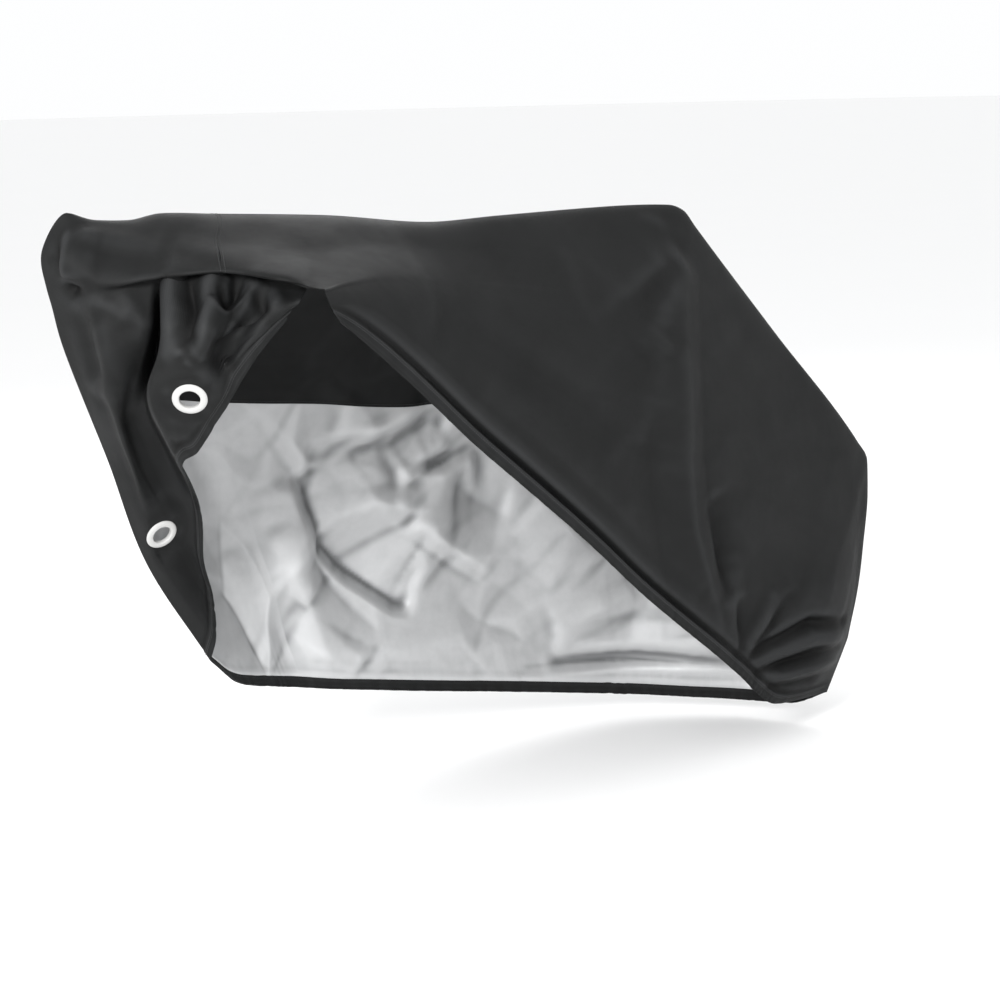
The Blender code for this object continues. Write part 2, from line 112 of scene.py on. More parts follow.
NEAR_HEM = (  # station, x, y, z, belly
    (0.43, -0.268, -0.2, 0.909, 0.0),
    (0.55, -0.149, -0.17, 0.816, 0.01),
    (0.72, 0.013, -0.15, 0.672, 0.015),
    (0.82, 0.092, -0.15, 0.604, 0.015),
    (0.96, 0.224, -0.14, 0.492, 0.015),
    (1.11, 0.355, -0.12, 0.377, 0.015),
    (1.3, 0.487, -0.095, 0.273, 0.02),
    (1.6, 0.644, -0.055, 0.153, 0.025),
    (1.77, 0.689, -0.045, 0.113, 0.03),
    (1.97, 0.743, -0.035, 0.08, 0.03),
    (2.16, 0.907, 0.0, 0.063, 0.0),
)
FAR_HEM = (  # station, x, y, z, belly
    (0.0, -0.298, 0.24, 0.293, 0.0),
    (0.06, -0.221, 0.285, 0.227, 0.03),
    (0.13, -0.146, 0.315, 0.2, 0.03),
    (0.24, -0.075, 0.335, 0.18, 0.03),
    (0.43, 0.078, 0.345, 0.145, 0.03),
    (0.72, 0.321, 0.34, 0.096, 0.035),
    (0.98, 0.513, 0.31, 0.063, 0.035),
    (1.11, 0.618, 0.285, 0.047, 0.035),
    (1.45, 0.754, 0.2, 0.034, 0.03),
    (1.77, 0.824, 0.13, 0.031, 0.03),
    (1.98, 0.867, 0.06, 0.034, 0.025),
    (2.16, 0.907, 0.0, 0.063, 0.0),
)
NEAR_START = (  # under, upper, middle, lower and hem points
    (-0.283, -0.183, 0.953), (-0.283, -0.186, 0.948), (-0.281, -0.19, 0.939),
    (-0.276, -0.195, 0.925), (-0.268, -0.2, 0.909))

# How the side ribs swell under the spine, ease into their neighbours' shape, and how many there are
CREST_POWER = 3.0
NOSE_FADE = 0.06
BAND_FADE = 0.09
PLAIN_RIBS = 90


def slopes(at, points):
    """Slopes of a smooth curve through the points that never swings past them."""
    step = np.diff(at)[:, None]
    rise = np.diff(points, axis=0) / step
    before, after = rise[:-1], rise[1:]
    weight_before = 2 * step[1:] + step[:-1]
    weight_after = step[1:] + 2 * step[:-1]
    same_way = before * after > 0
    safe_before = np.where(same_way, before, 1.0)
    safe_after = np.where(same_way, after, 1.0)
    mean = (weight_before + weight_after) / (weight_before / safe_before + weight_after / safe_after)
    return np.concatenate((rise[:1], np.where(same_way, mean, 0.0), rise[-1:]))


def hermite(start, end, slope_start, slope_end, length, part):
    """The cubic from start to end with these end slopes, at this part (0 to 1) of its length."""
    square, cube = part ** 2, part ** 3
    return ((2 * cube - 3 * square + 1) * start + (cube - 2 * square + part) * length * slope_start
            + (3 * square - 2 * cube) * end + (cube - square) * length * slope_end)


def read_curve(at, points, places):
    """Points of the smooth curve through a table, at the wanted places."""
    slope = slopes(at, points)
    low = np.clip(np.searchsorted(at, places, side="right") - 1, 0, len(at) - 2)
    length = (at[low + 1] - at[low])[..., None]
    part = (places - at[low])[..., None] / length
    return hermite(points[low], points[low + 1], slope[low], slope[low + 1], length, part)


def table_columns(table, first):
    """A table's stations and its numbers from this column on."""
    stations = np.array([row[0] for row in table])
    return stations, np.array([row[first:] for row in table])


SPINE_STATIONS, SPINE_POINTS = table_columns(SPINE, 1)


def spine(station):
    return read_curve(SPINE_STATIONS, SPINE_POINTS, station)


def front_ribs():
    """Stations and rib points of the front, as offsets from the spine."""
    stations = np.array([rib[1] for rib in FRONT_RIBS])
    crest, edge, upper, middle, lower, hem = (
        np.array([rib[column] for rib in FRONT_RIBS]) for column in range(3, 9))
    tuck = np.array([rib[2] for rib in FRONT_RIBS])[:, None]
    untucked = edge + (upper - edge) * 0.25
    tucked = edge + (crest - edge) * TUCK_DEPTH + TUCK_DROP
    under = untucked * (1 - tuck) + tucked * tuck
    top = spine(stations)
    return stations, np.stack((top, crest, edge, under, upper, middle, lower, hem)) - top


def plain_ribs(table, side):
    """Stations and rib points of a side without tucks, as offsets from the spine."""
    at, columns = table_columns(table, 1)
    stations = np.linspace(at[0], at[-1], PLAIN_RIBS)
    columns = read_curve(at, columns, stations)
    reach = columns[:, :3] - spine(stations)
    belly = columns[:, 3]
    ribs = reach[None] * ROW_AT[:, None, None]
    outward = 1 - (1 - ROW_AT[:, None]) ** CREST_POWER
    ribs[..., 1] = reach[None, :, 1] * outward + side * belly * np.sin(np.pi * ROW_AT[:, None])
    return stations, ribs


def carry_on_from(first_rib, stations, ribs, reach):
    """Ribs that start at this first rib and ease into their own shape over this reach."""
    fade = np.exp((stations[0] - stations) / reach)[None, :, None]
    return ribs + (first_rib - ribs[:, 0])[:, None] * fade


FRONT_STATIONS, FRONT_OFFSETS = front_ribs()
NEAR_STATIONS, PLAIN_NEAR = plain_ribs(NEAR_HEM, -1)
BAND_END = np.concatenate((FRONT_OFFSETS[:3, -1], np.array(NEAR_START) - spine(NEAR_STATIONS)[0]))
NEAR_OFFSETS = carry_on_from(BAND_END, NEAR_STATIONS, PLAIN_NEAR, BAND_FADE)
FAR_STATIONS, PLAIN_FAR = plain_ribs(FAR_HEM, 1)
FAR_OFFSETS = carry_on_from(FRONT_OFFSETS[:, 0], FAR_STATIONS, PLAIN_FAR, NOSE_FADE)
TOP_STATIONS = np.concatenate((FRONT_STATIONS[:-1], NEAR_STATIONS))
TOP_OFFSETS = np.concatenate((FRONT_OFFSETS[:4, :-1], NEAR_OFFSETS[:4]), axis=1)


def down_rib(rows, station, place):
    """Points on the ribs at these stations, at these places between the spine and the hem."""
    step = np.diff(ROW_AT).reshape((-1,) + (1,) * (rows.ndim - 1))
    rise = np.diff(rows, axis=0) / step
    inner = (rise[:-1] * step[1:] + rise[1:] * step[:-1]) / (step[1:] + step[:-1])
    over_top = rise[:1].copy()
    over_top[..., 0] *= np.exp(-station / NOSE_FADE)
    over_top[..., 1] *= 1.4
    over_top[..., 2] = 0.0
    slope = np.concatenate((over_top, inner, rise[-1:]))
    low = np.clip(np.searchsorted(ROW_AT, place, side="right") - 1, 0, len(ROW_AT) - 2)
    length = (ROW_AT[low + 1] - ROW_AT[low])[..., None]
    part = (place - ROW_AT[low])[..., None] / length
    pick = np.indices(low.shape)
    return hermite(rows[(low, *pick)], rows[(low + 1, *pick)],
                   slope[(low, *pick)], slope[(low + 1, *pick)], length, part)


def cloth_surface(top_stations, top, low_stations, low, station, place):
    """Points of the cloth, from the control rows over the band and those below it."""
    rows = [read_curve(top_stations, row, station) for row in top]
    within = np.clip(station, low_stations[0], low_stations[-1])
    rows += [read_curve(low_stations, row, within) for row in low]
    return spine(station) + down_rib(np.stack(rows), station, place)


def front_surface(station, place):
    return cloth_surface(TOP_STATIONS, TOP_OFFSETS[:3], FRONT_STATIONS, FRONT_OFFSETS[3:], station, place)


def near_surface(station, place):
    return cloth_surface(TOP_STATIONS, TOP_OFFSETS, NEAR_STATIONS, NEAR_OFFSETS[4:], station, place)


def far_surface(station, place):
    return cloth_surface(FAR_STATIONS, FAR_OFFSETS[:4], FAR_STATIONS, FAR_OFFSETS[4:], station, place)


EYELETS = (  # node, station, place down the rib, direction it faces
    ("eyelet_flap", 0.236, 0.702, (-0.48, -0.75, -0.46)),
    ("eyelet_nose", 0.062, 0.839, (0.05, -0.88, -0.45)),
)

# The hole under an eyelet, and how far its flat seat reaches out, eases away and goes through
HOLE_RADIUS = 0.0186
SEAT_FLAT = 0.032
SEAT_EASED = 0.072
SEAT_DEPTH = 0.05

# Finer folds, in millimetres: those of both sides are seen from the side. Roundness 2 is a soft fold,
# and at 1 two flat slopes meet in a crease. Widths are left and right of the line as it runs.
NEAR_FOLDS = (  # name, roundness, left width, right width, then x, z and height outwards
    ("saddle crease", 1.0, 50, 80, (530, 960, 0), (482, 872, 8.5), (455, 762, 16), (447, 600, 21),
     (467, 480, 21), (497, 401, 19), (569, 242, 14.5), (614, 195, 5)),
    ("upper tension ridge", 1.4, 30, 45, (520, 962, 5.5), (448, 938, 13.5), (345, 900, 11), (234, 853, 0)),
    ("lower tension ridge", 1.5, 40, 35, (520, 953, 5.5), (459, 890, 12), (394, 829, 11), (350, 786, 0)),
    ("between the ridges", 2.0, 22, 22, (500, 950, -4), (432, 901, -8), (349, 843, 0)),
    ("falling ridge", 1.4, 80, 36, (430, 830, 0), (410, 794, 7), (374, 713, 9), (342, 623, 1.5)),
    ("top hollow", 2.0, 40, 50, (-60, 978, -4), (20, 960, -12), (120, 955, -12), (260, 935, -2.5)),
    ("long hollow", 2.0, 30, 45, (-78, 899, -5.5), (13, 850, -12), (109, 792, -16), (220, 712, -11),
     (300, 640, -2.5)),
    ("ridge over the hem", 1.6, 40, 22, (0, 780, 2.5), (100, 700, 5.5), (220, 600, 7), (360, 470, 5.5),
     (500, 340, 2.5)),
    ("low hollow", 1.8, 30, 18, (523, 530, -6), (546, 468, -17.5), (569, 379, -23), (583, 309, -8)),
    ("low ridge", 1.0, 32, 35, (575, 420, 3.5), (590, 340, 11.5), (602, 270, 11.5), (625, 200, 2)),
    ("short trough", 1.5, 14, 12, (601, 334, -3.5), (614, 274, -16), (629, 216, -10), (645, 180, 0)),
    ("upper gather fold", 1.0, 16, 35, (639, 180, -11.5), (718, 209, -19.5), (801, 234, -19.5),
     (923, 215, -6)),
    ("first gather ridge", 1.0, 26, 19, (645, 165, 8), (720, 188, 17.5), (810, 205, 17.5), (920, 190, 3.5)),
    ("second gather fold", 1.0, 16, 22, (660, 153, -8), (739, 160, -17.5), (829, 170, -14),
     (930, 160, -3.5)),
    ("second gather ridge", 1.0, 22, 19, (670, 140, 6), (750, 138, 16), (840, 140, 11.5), (930, 135, 2)),
    ("low gather fold", 1.0, 16, 19, (690, 122, -6), (759, 115, -16), (858, 112, -8)),
    ("steep gather ridge", 1.0, 22, 29, (640, 195, 6), (680, 260, 11.5), (710, 330, 2)),
    ("steep gather fold", 1.0, 19, 26, (650, 190, -6), (710, 250, -11.5), (770, 310, -2)),
    ("gather swelling", 2.0, 50, 35, (767, 304, 3.5), (838, 273, 14), (912, 233, 3.5)),
    ("seam at the saddle", 1.0, 6, 16, (431, 1031, 2), (447, 1020, 4), (477, 1007, 4), (540, 975, 2)),
)
FAR_FOLDS = (  # the same columns; a ridge that shows inside has a height below zero
    ("long fold", 1.0, 150, 26, (-48, 585, 8), (-30, 520, 20), (4, 430, 28), (60, 370, 30),
     (150, 300, 22), (195, 285, 8)),
    ("upper plane", 1.0, 150, 110, (30, 620, -6), (110, 500, -16), (190, 400, -16), (240, 330, -6)),
    ("front crease", 1.0, 40, 110, (-88, 570, -4), (-51, 456, -14), (-40, 360, -12), (-36, 320, -4)),
    ("curving ridge", 1.0, 60, 130, (-115, 480, -6), (-98, 427, -14), (-75, 371, -20), (-36, 308, -22),
     (14, 251, -18), (72, 191, -8)),
    ("front hollow", 2.0, 45, 39, (-135, 400, 8), (-115, 340, 12), (-70, 290, 6)),
    ("low ridge", 1.0, 50, 120, (-140, 318, -6), (-95, 290, -15), (-40, 240, -18), (20, 200, -14),
     (110, 150, -5)),
    ("upper dark fold", 1.0, 34, 110, (-49, 592, 8), (65, 598, 20), (142, 603, 22), (206, 636, 18),
     (260, 633, 6)),
    ("upper bright ridge", 1.0, 90, 30, (5, 650, -6), (85, 638, -14), (152, 660, -12), (200, 690, -4)),
    ("facet top", 1.0, 90, 30, (140, 540, -8), (205, 575, -18), (260, 605, -12)),
    ("facet bottom", 1.0, 24, 110, (140, 540, -6), (249, 532, -20), (334, 560, -12)),
    ("dark hollow", 1.4, 70, 60, (260, 480, 10), (330, 470, 16), (410, 450, 6)),
    ("falling ridge", 1.0, 100, 30, (171, 461, -6), (237, 412, -18), (307, 361, -16), (370, 320, -5)),
    ("rear slant", 1.0, 30, 110, (444, 467, -8), (511, 405, -16), (600, 311, -6)),
    ("rear cross ridge", 1.0, 80, 40, (483, 184, -5), (590, 225, -12), (671, 261, -5)),
    ("first rear band", 1.0, 50, 24, (478, 150, -6), (696, 140, -14), (860, 120, -4)),
    ("rear dark band", 1.0, 30, 20, (470, 128, 6), (691, 116, 12), (860, 95, 3)),
    ("second rear band", 1.0, 20, 34, (411, 104, -6), (534, 100, -10), (701, 93, -10), (850, 85, -3)),
    ("long back ridge", 1.4, 75, 39, (500, 950, -4), (400, 800, -12), (300, 660, -10), (220, 600, -2)),
    ("upright back ridge", 1.4, 60, 52, (620, 840, 3), (600, 650, 10), (620, 450, 10), (660, 250, 3)),
    ("front back ridge", 1.6, 60, 52, (-300, 900, 3), (-280, 750, 9), (-220, 600, 9), (-160, 480, 2)),
)
# Folds of the front, seen from this far to the left, where its pieces lie side by side.
FRONT_TURN = math.radians(34.2)
BAND_FOLDS = (  # name, roundness, left width, right width, then across, z and height outwards
    ("end's upright edge", 1.0, 45, 9, (-531, 1060, 4), (-530, 1035, 9), (-530, 1000, 11), (-531, 960, 9)),
    ("end's first crease", 1.0, 7, 7, (-545, 1035, -4), (-545, 1010, -8), (-543, 986, -6)),
    ("end's second crease", 1.0, 9, 7, (-556, 1030, -2), (-558, 1005, -6), (-553, 980, -4)),
    ("crest crease", 1.0, 15, 12, (-528, 1041, 6), (-490, 1033, 6), (-437, 1022, 4), (-375, 1014, 2)),
    ("face's hollow", 2.0, 14, 16, (-500, 1010, -4), (-420, 1000, -6), (-360, 995, -2)),
    ("face's crease", 1.0, 16, 10, (-380, 1026, 1), (-330, 1012, 4), (-270, 1004, 3), (-220, 1010, 1)),
    ("ridge to the apex", 1.0, 27, 15, (-261, 992, 4), (-220, 992, 8), (-186, 985, 8), (-141, 969, 4)),
    ("hollow to the apex", 1.6, 10, 14, (-240, 1004, -2), (-170, 1000, -6), (-110, 980, -4)),
)
CURTAIN_FOLDS = (
    ("curtain crease", 1.0, 48, 22, (-545, 920, 1.5), (-533, 859, 5), (-524, 820, 6.5), (-516, 749, 6.5),
     (-507, 674, 4), (-490, 600, 1.5)),
    ("curtain branch", 1.0, 26, 19, (-523, 823, 3), (-510, 803, 5), (-490, 794, 5), (-469, 790, 4),
     (-457, 784, 1.5)),
    ("pocket", 1.4, 14, 12, (-534, 985, -10), (-529, 958, -20), (-524, 930, -8)),
    ("pocket's fold", 1.3, 18, 14, (-515, 955, 4), (-480, 940, 7.5), (-445, 920, 6.5), (-425, 900, 1.5)),
    ("light fold", 1.4, 16, 18, (-465, 965, 3), (-440, 940, 6.5), (-420, 905, 6.5), (-430, 860, 1.5)),
    ("curtain middle", 1.8, 30, 20, (-489, 928, 4), (-478, 867, 10.5), (-465, 808, 9), (-455, 740, 1.5)),
    ("curtain hollow", 2.0, 18, 18, (-515, 930, -4), (-505, 870, -7.5), (-495, 810, -4)),
)
FLAP_FOLDS = (
    ("left ridge", 1.0, 19, 22, (-366, 1005, 17), (-366, 944, 17), (-363, 911, 17), (-366, 875, 11),
     (-375, 840, 3)),
    ("left trough", 1.0, 19, 25, (-345, 976, -11), (-331, 931, -20), (-334, 898, -17), (-347, 868, -5.5)),
    ("middle ridge", 1.0, 25, 31, (-313, 994, 20), (-298, 945, 20), (-300, 930, 22.5), (-311, 905, 20),
     (-327, 875, 11), (-345, 855, 3)),
    ("seam pocket", 1.0, 16, 16, (-310, 970, -8), (-295, 952, -22.5), (-284, 943, -28),
     (-270, 955, -22.5), (-255, 975, -8)),
    ("second ridge", 1.0, 19, 19, (-228, 982, 10), (-252, 934, 20), (-270, 909, 17), (-290, 875, 5.5)),
    ("long trough", 1.0, 28, 31, (-212, 955, -14), (-229, 935, -25), (-256, 909, -28), (-274, 878, -25),
     (-293, 839, -13.5), (-308, 808, 0)),
    ("hem ridge", 1.0, 16, 22, (-190, 956, 8), (-228, 908, 20), (-253, 877, 20), (-285, 835, 8)),
    ("wrinkle over ring", 1.2, 6, 6, (-356, 852, 5.5), (-340, 858, 8), (-322, 847, 5.5)),
    ("higher wrinkle", 1.2, 5, 5, (-366, 862, 3), (-348, 872, 8), (-330, 866, 3)),
    ("wrinkle under ring", 1.2, 6, 7, (-375, 785, 3), (-368, 766, 8), (-350, 750, 5.5)),
    ("hollow under ring", 1.0, 19, 22, (-350, 735, -11), (-362, 715, -17), (-372, 695, -5.5)),
)
MILLIMETRE = 0.001

# Random unevenness: height of the soft swells, height of the facets, and the facets' size
FRONT_WRINKLES = (0.0012, 0.0030, 0.110)
NEAR_WRINKLES = (0.0014, 0.0034, 0.130)
FAR_WRINKLES = (0.0022, 0.0150, 0.165)

# How round a fold's crest is, and how far it takes to fade at its ends and at the cloth's edges
FOLD_CREST = 0.003
FOLD_END = 0.030
SPINE_FADE = 0.045
SEAM_FADE = 0.012
FAR_SEAM_FADE = 0.10
TAIL_FADE = 0.08
SHORT_RIB = 0.10
HEM_CALM = 0.09

# Where the curtain becomes the flap, and where the band's own folds end, as stations
CURTAIN_END = 0.172
BAND_FOLDS_END = 0.60

# Where the silver lining starts, as a share of the rib below the band
LINING_STARTS = 0.165

# Cells to each side over which a bend is measured, and the length that rounds it off
BEND_REACH = 3
BEND_ROUND = 0.012

# How far the two rows of stitches are from the hem's edge
HEM_ROWS_AT = (0.0150, 0.0185)


def steps(*spans):
    """Places from the first span's start to the last one's end, each span in equal steps."""
    places = [np.linspace(start, end, count, endpoint=False) for start, end, count in spans]
    return np.append(np.concatenate(places), spans[-1][1])


# How finely the sheets are divided, down the ribs and along the spine
BAND_PLACES = steps((0, 0.10, 10), (0.10, BAND_EDGE, 18))
BAND_ROWS = len(BAND_PLACES) - 1
BODY_STEPS = 120
LINING_ROW = BAND_ROWS + round(LINING_STARTS * BODY_STEPS)
HEM_ROWS = steps((0, 0.024, 12), (0.024, 0.060, 12))[::-1]
NOSE_AT = steps((0, 0.05, 26), (0.05, 0.15, 42), (0.15, SEAM, 38))
FLAP_AT = steps((SEAM, FLAP_END, 46))
NEAR_AT = steps((SEAM, FLAP_END, 46), (FLAP_END, APEX, 6), (APEX, 0.80, 56), (0.80, 1.30, 66),
                (1.30, TAIL, 76))
APEX_RIB = np.searchsorted(NEAR_AT, APEX - 1e-9)
FAR_AT = steps((SEAM, APEX, 32), (APEX, 0.80, 56), (0.80, 1.30, 66), (1.30, TAIL, 70))


def smooth(share):
    """0 below 0, 1 above 1, and a soft step between."""
    share = np.clip(share, 0, 1)
    return share * share * (3 - 2 * share)


def rib_lengths(points):
    """Length along each rib from its first point."""
    length = np.cumsum(np.linalg.norm(np.diff(points, axis=1), axis=-1), axis=1)
    return np.concatenate((np.zeros((len(points), 1)), length), axis=1)


def sheet_grid(surface, stations):
    """Stations and places of a grid: fixed places over the band, then even steps, then close hem rows."""
    fine = np.linspace(BAND_EDGE, 1, 240)
    station, place = np.meshgrid(stations, fine, indexing="ij")
    length = rib_lengths(surface(station, place))
    places = np.empty((len(stations), BAND_ROWS + BODY_STEPS + len(HEM_ROWS)))
    places[:, :BAND_ROWS] = BAND_PLACES[:-1]
    for rib, along in enumerate(length):
        hem = HEM_ROWS * min(1.0, 0.5 * along[-1] / HEM_ROWS[0])
        body = np.linspace(0, along[-1] - hem[0], BODY_STEPS, endpoint=False)
        wanted = np.concatenate((body, along[-1] - hem))
        places[rib, BAND_ROWS:] = np.interp(wanted, along, fine)
    return np.repeat(stations[:, None], places.shape[1], axis=1), places


def outward(points, near):
    """The sheet's direction outwards at each point of a grid."""
    along = np.gradient(points, axis=0)
    down = np.gradient(points, axis=1)
    normal = np.cross(along, down)
    if near:
        normal = -normal
    return normal / np.maximum(np.linalg.norm(normal, axis=-1, keepdims=True), 1e-12)


def waves(points, size, seed):
    """Smooth random waves of about this size, from -1 to 1, the same each time."""
    lattice = np.random.default_rng(seed).uniform(-1, 1, (32, 32, 32))
    cell = points / size
    low = np.floor(cell).astype(int)
    part = smooth(cell - low)
    total = np.zeros(points.shape[:-1])
    for corner in itertools.product((0, 1), repeat=3):
        weight = np.prod(np.where(corner, part, 1 - part), axis=-1)
        at = (low + corner) % 32
        total += weight * lattice[at[..., 0], at[..., 1], at[..., 2]]
    return total


def fold_height(spot, folds):
    """How far the folds push out the points at these places in the view that their table is for."""
    out = np.zeros(spot.shape[:-1])
    for _name, roundness, left, right, *line in folds:
        line = np.array(line) * MILLIMETRE
        nearest = np.full(spot.shape[:-1], np.inf)
        height, width, run = np.zeros(nearest.shape), np.ones(nearest.shape), np.zeros(nearest.shape)
        total = 0.0
        for start, end in zip(line[:-1], line[1:]):
            along = end[:2] - start[:2]
            reach = math.hypot(*along)
            offset = spot - start[:2]
            share = np.clip(offset @ along / reach ** 2, 0, 1)
            away = np.linalg.norm(offset - share[..., None] * along, axis=-1)
            turn = along[0] * offset[..., 1] - along[1] * offset[..., 0]
            closer = away < nearest
            height = np.where(closer, start[2] + share * (end[2] - start[2]), height)
            width = np.where(closer, np.where(turn > 0, left, right) * MILLIMETRE, width)
            run = np.where(closer, total + share * reach, run)
            nearest = np.minimum(nearest, away)
            total += reach
        ends = smooth(run / FOLD_END) * smooth((total - run) / FOLD_END)
        away = np.sqrt(nearest ** 2 + FOLD_CREST ** 2) - FOLD_CREST
        side = np.exp(-(away / width) ** roundness) if roundness > 1 else np.clip(1 - away / width, 0, 1)
        out += height * ends * side
    return out


def eased(height):
    """The same heights, with sharp edges softened over their neighbours, but not along the seams."""
    soft = height.copy()
    soft[1:-1, 1:-1] = (height[:-2, 1:-1] + height[2:, 1:-1] + height[1:-1, :-2] + height[1:-1, 2:]
                        + 2 * height[1:-1, 1:-1]) / 6
    return soft


def side_view(points):
    return points[..., (0, 2)]


def front_view(points):
    across = points[..., 0] * math.cos(FRONT_TURN) - points[..., 1] * math.sin(FRONT_TURN)
    return np.stack((across, points[..., 2]), axis=-1)


def hem_shape(from_hem, station, trough):
    """The folded hem stands proud, and the cloth above it dips and then swells."""
    band = smooth(from_hem / 0.003) * smooth((HEM_WIDTH + 0.002 - from_hem) / 0.004)
    puckers = waves(np.stack((station, from_hem * 0.15, station * 0), axis=-1), 0.009, 11)
    dip = np.exp(-((from_hem - HEM_WIDTH - 0.007) / 0.0065) ** 2)
    swell = np.exp(-((from_hem - HEM_WIDTH - 0.028) / 0.016) ** 2)
    ripple = puckers * 0.0009 * np.exp(-from_hem / 0.035)
    return 0.0016 * band - trough * dip + 0.35 * trough * swell + ripple


def facets(spot, size, seed):
    """Random flat facets of about this size, from -1 to 1, that meet in creases."""
    chance = np.random.default_rng(seed)
    lattice = chance.uniform(-1, 1, (64, 64))
    flipped = chance.uniform(0, 1, (64, 64)) < 0.5
    swirl = np.concatenate((spot, spot[..., :1] * 0), axis=-1)
    bent = np.stack((waves(swirl, 1.7 * size, seed), waves(swirl, 1.7 * size, seed + 50)), axis=-1)
    cell = spot / size + 0.8 * bent
    low = np.floor(cell).astype(int)
    right, up = np.moveaxis(cell - low, -1, 0)
    column, row = np.moveaxis(low % 64, -1, 0)
    flip = flipped[column, row]
    right = np.where(flip, 1 - right, right)
    left_end, right_end = (column + flip) % 64, (column + 1 - flip) % 64
    near_left, near_right = lattice[left_end, row], lattice[right_end, row]
    far_left, far_right = lattice[left_end, (row + 1) % 64], lattice[right_end, (row + 1) % 64]
    lower = near_left + right * (near_right - near_left) + up * (far_right - near_right)
    upper = near_left + up * (far_left - near_left) + right * (far_right - far_left)
    return np.where(right > up, lower, upper)


def small_wrinkles(points, spot, soft, crisp, size):
    """Broad soft swells, and facets with creases in two sizes."""
    broad = waves(points, 0.16, 3) + 0.5 * waves(points, 0.075, 4)
    return soft * broad + crisp * (facets(spot, size, 21) + 0.28 * facets(spot, 0.45 * size, 22))


def seat_of(station, place, facing):
    """Centre and direction of an eyelet, on the cloth's inner face."""
    centre = front_surface(np.array([station]), np.array([place]))[0]
    facing = np.array(facing)
    return centre, facing / np.linalg.norm(facing)


def seat_reach(points, near, centre, facing):
    """Distance from an eyelet's axis, its lift off the seat, and how far the point is on its cloth."""
    offset = points - centre
    lift = offset @ facing
    flat = offset - lift[..., None] * facing
    reach = np.linalg.norm(flat, axis=-1)
    on_cloth = smooth(outward(points, near) @ facing / 0.4) * smooth((SEAT_DEPTH - np.abs(lift)) / 0.02)
    return reach, lift, flat, on_cloth


def press_seats(points, near, height, station):
    """Press the cloth flat round each eyelet, with small puckers that leave it."""
    for _name, *seat in EYELETS:
        centre, facing = seat_of(*seat)
        reach, lift, flat, on_cloth = seat_reach(points, near, centre, facing)
        on_cloth *= smooth(station / 0.03)
        ease = smooth((SEAT_EASED - reach) / (SEAT_EASED - SEAT_FLAT)) * on_cloth
        points = points - facing * (lift * ease)[..., None]
        calm = smooth((SEAT_EASED - reach) / 0.035) * on_cloth
        spokes = waves(flat / np.maximum(reach, 1e-6)[..., None], 0.45, 8)
        ring = np.exp(-((reach - 0.037) / 0.008) ** 2) * on_cloth
        height = height * (1 - calm) + 0.0016 * spokes * ring
    return points, height


def faces_outside_holes(points, near):
    """Which faces of a grid are clear of the eyelets' holes."""
    clear = np.ones((len(points) - 1, points.shape[1] - 1), bool)
    for _name, *seat in EYELETS:
        reach, _lift, _flat, on_cloth = seat_reach(points, near, *seat_of(*seat))
        cut = (on_cloth > 0.5) & (reach < HOLE_RADIUS + 0.001)
        clear &= ~(cut[:-1, :-1] | cut[1:, :-1] | cut[1:, 1:] | cut[:-1, 1:])
    return clear


def front_heights(points, station, place):
    """Height of the front's own folds, with the band, the curtain and the flap each by itself."""
    view = front_view(points)
    below = place > BAND_EDGE
    flap = below & (station > CURTAIN_END)
    curtain = below & (station <= CURTAIN_END)
    height = fold_height(view, BAND_FOLDS) * ~below
    height += fold_height(view, CURTAIN_FOLDS) * curtain
    height += fold_height(view, FLAP_FOLDS) * flap
    return height + small_wrinkles(points, view, *FRONT_WRINKLES)


def near_heights(points, station, place):
    height = fold_height(side_view(points), NEAR_FOLDS)
    height += fold_height(front_view(points), BAND_FOLDS) * (station < BAND_FOLDS_END)
    return height + small_wrinkles(points, side_view(points), *NEAR_WRINKLES)


def far_heights(points, station, place):
    height = fold_height(side_view(points), FAR_FOLDS) * smooth(np.abs(station - SEAM) / FAR_SEAM_FADE)
    return height + small_wrinkles(points, side_view(points), *FAR_WRINKLES)


def near_trough(station):
    """Depth of the dip above the near hem: deep in the middle of the side, shallow at both ends."""
    return np.interp(station, (0.43, 0.55, 0.80, 1.20, 1.60, 1.95, 2.16),
                     (0.003, 0.007, 0.012, 0.010, 0.006, 0.004, 0.000))


def even_trough(station):
    return 0.0012 + station * 0


def panel_grid(surface, stations, near, heights, trough):
    """A grid's final points, with each one's direction outwards and place in the cloth."""
    station, place = sheet_grid(surface, stations)
    points = surface(station, place)
    length = rib_lengths(points)
    from_hem = length[:, -1:] - length
    calm = smooth(length / SPINE_FADE) * smooth((station + 0.004) / 0.03)
    calm *= 0.3 + 0.7 * smooth(from_hem / HEM_CALM)
    if near:
        edge = np.abs(length - length[:, BAND_ROWS:BAND_ROWS + 1])
        calm = np.where(station <= FLAP_END, calm * smooth(edge / SEAM_FADE), calm)
    height = eased(heights(points, station, place)) * calm
    short = smooth((length[:, -1:] - length[:, BAND_ROWS:BAND_ROWS + 1]) / SHORT_RIB)
    below = place > BAND_EDGE
    height = np.where(below, (height + hem_shape(from_hem, station, trough(station))) * short, height)
    height *= smooth((TAIL - station) / TAIL_FADE)
    if surface is front_surface:
        points, height = press_seats(points, near, height, station)
        push = outward(points, near)
    else:
        push = np.array((0.0, -1.0 if near else 1.0, 0.0))
    points = points + push * height[..., None]
    # The bend goes with the grid, for the materials' painted highlight on ridges and painted shade in
    # creases.
    return {"points": points, "out": outward(points, near), "from_hem": from_hem,
            "cloth_at": np.stack((station, length), axis=-1), "painted_shading": bend_of(points, height),
            "lined": np.arange(place.shape[1]) + station * 0 > LINING_ROW}


